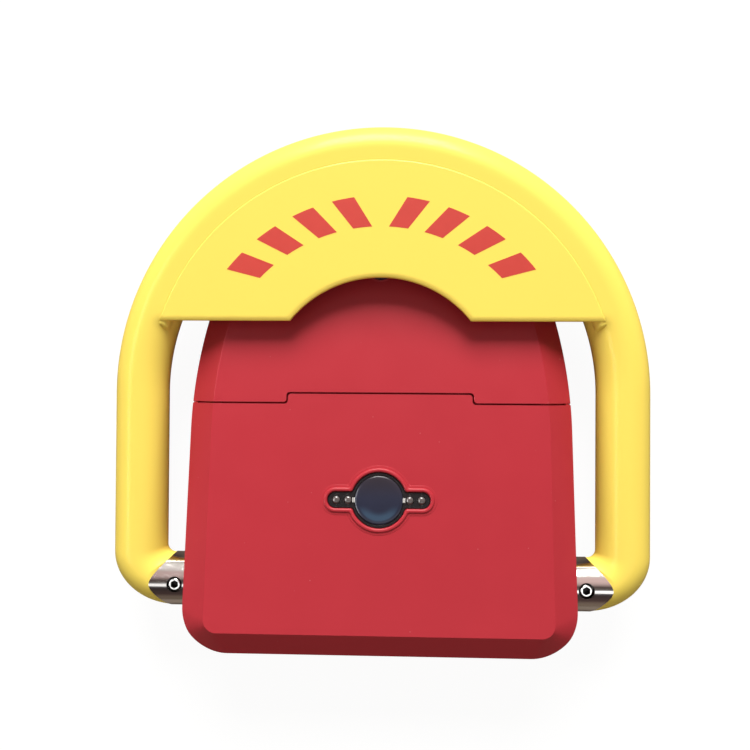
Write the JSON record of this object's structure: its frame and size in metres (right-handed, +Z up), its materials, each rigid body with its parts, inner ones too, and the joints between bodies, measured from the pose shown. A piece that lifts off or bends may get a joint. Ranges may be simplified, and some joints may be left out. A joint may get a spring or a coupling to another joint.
{
  "type": "folding parking lock",
  "caption": "Floor-mounted parking barrier: a U-shaped tube arm with a crescent sign plate folds down round a low wedge housing that holds its motor, batteries and key lock.",
  "frame": {"origin": "on the ground, under the middle of the arm's pivot axis", "axes": "+X along the pivot axis, +Y towards the crest of the lowered arm, +Z up"},
  "size_m": [0.46, 0.4507, 0.0877],
  "materials": {
    "yellow_coat": "thick glossy powder coat",
    "red_shell": "satin moulded plastic",
    "bright_steel": "polished stainless",
    "zinc_steel": "zinc plated",
    "gear_steel": "oiled dark steel",
    "bronze": "sintered bronze",
    "brass": "machined",
    "motor_black": "black coated steel can",
    "black_rubber": "matt",
    "black_plastic": "moulded",
    "dark_window": "dark blue glossy",
    "lamp_clear": "clear lamp",
    "board_green": "solder resist",
    "cell_jacket": "printed jacket"
  },
  "bodies": {
    "housing": {"base_plate": "zinc_steel", "base_gasket": "black_rubber", "front_cover": "red_shell", "battery_lid": "red_shell", "lid_seal": "black_rubber", "cover_screw_left": "zinc_steel", "cover_screw_right": "zinc_steel", "front_screw_left": "zinc_steel", "front_screw_right": "zinc_steel", "bearing_block_left": "zinc_steel", "bearing_block_right": "zinc_steel", "bearing_bush_left": "bronze", "bearing_bush_right": "bronze", "block_screw_1": "zinc_steel", "block_screw_2": "zinc_steel", "block_screw_3": "zinc_steel", "block_screw_4": "zinc_steel", "motor_bracket": "zinc_steel", "bracket_screw_1": "zinc_steel", "bracket_screw_2": "zinc_steel", "gearhead": "zinc_steel", "gearhead_nut": "zinc_steel", "motor_can": "motor_black", "hall_sensor": "board_green", "control_tray": "black_plastic", "control_board": "board_green", "relay": "black_plastic", "battery_tray": "black_plastic", "battery_1": "cell_jacket", "battery_2": "cell_jacket", "battery_3": "cell_jacket", "battery_4": "cell_jacket", "contact_front": "brass", "contact_rear": "brass", "window_tray": "black_plastic", "window_disc": "dark_window", "window_board": "board_green", "led_1": "lamp_clear", "led_2": "lamp_clear", "led_3": "lamp_clear", "led_4": "lamp_clear", "lock_body": "bright_steel", "lock_nut": "zinc_steel", "lock_striker": "zinc_steel"},
    "arm": {"arm_tube": "yellow_coat", "sign_plate": "yellow_coat", "pivot_sleeve_left": "bright_steel", "pivot_sleeve_right": "bright_steel", "clamp_screw_left": "zinc_steel", "clamp_screw_right": "zinc_steel", "main_shaft": "gear_steel", "drive_gear": "gear_steel", "gear_key": "zinc_steel", "magnet_ring": "black_plastic"},
    "pinion": {"motor_shaft": "bright_steel", "motor_pinion": "brass"},
    "lock_plug": {"lock_barrel": "bright_steel", "lock_cam": "zinc_steel"}
  },
  "joints": [
    {"name": "arm_hinge", "type": "hinge", "parent": "housing", "child": "arm", "pos_m": [0, 0, 0.047], "axis": [1, 0, 0], "range_deg": [0, 90]},
    {"name": "pinion_spin", "type": "hinge", "parent": "housing", "child": "pinion", "pos_m": [0.04, 0.042, 0.047], "axis": [1, 0, 0], "range_deg": [-180, 0]},
    {"name": "lock_turn", "type": "hinge", "parent": "housing", "child": "lock_plug", "pos_m": [0, 0.272, 0.03], "axis": [0, 0, 1], "range_deg": [0, 90]}
  ],
  "couplings": [
    {"joint": "pinion_spin", "follows": "arm_hinge", "ratio": -2}
  ]
}
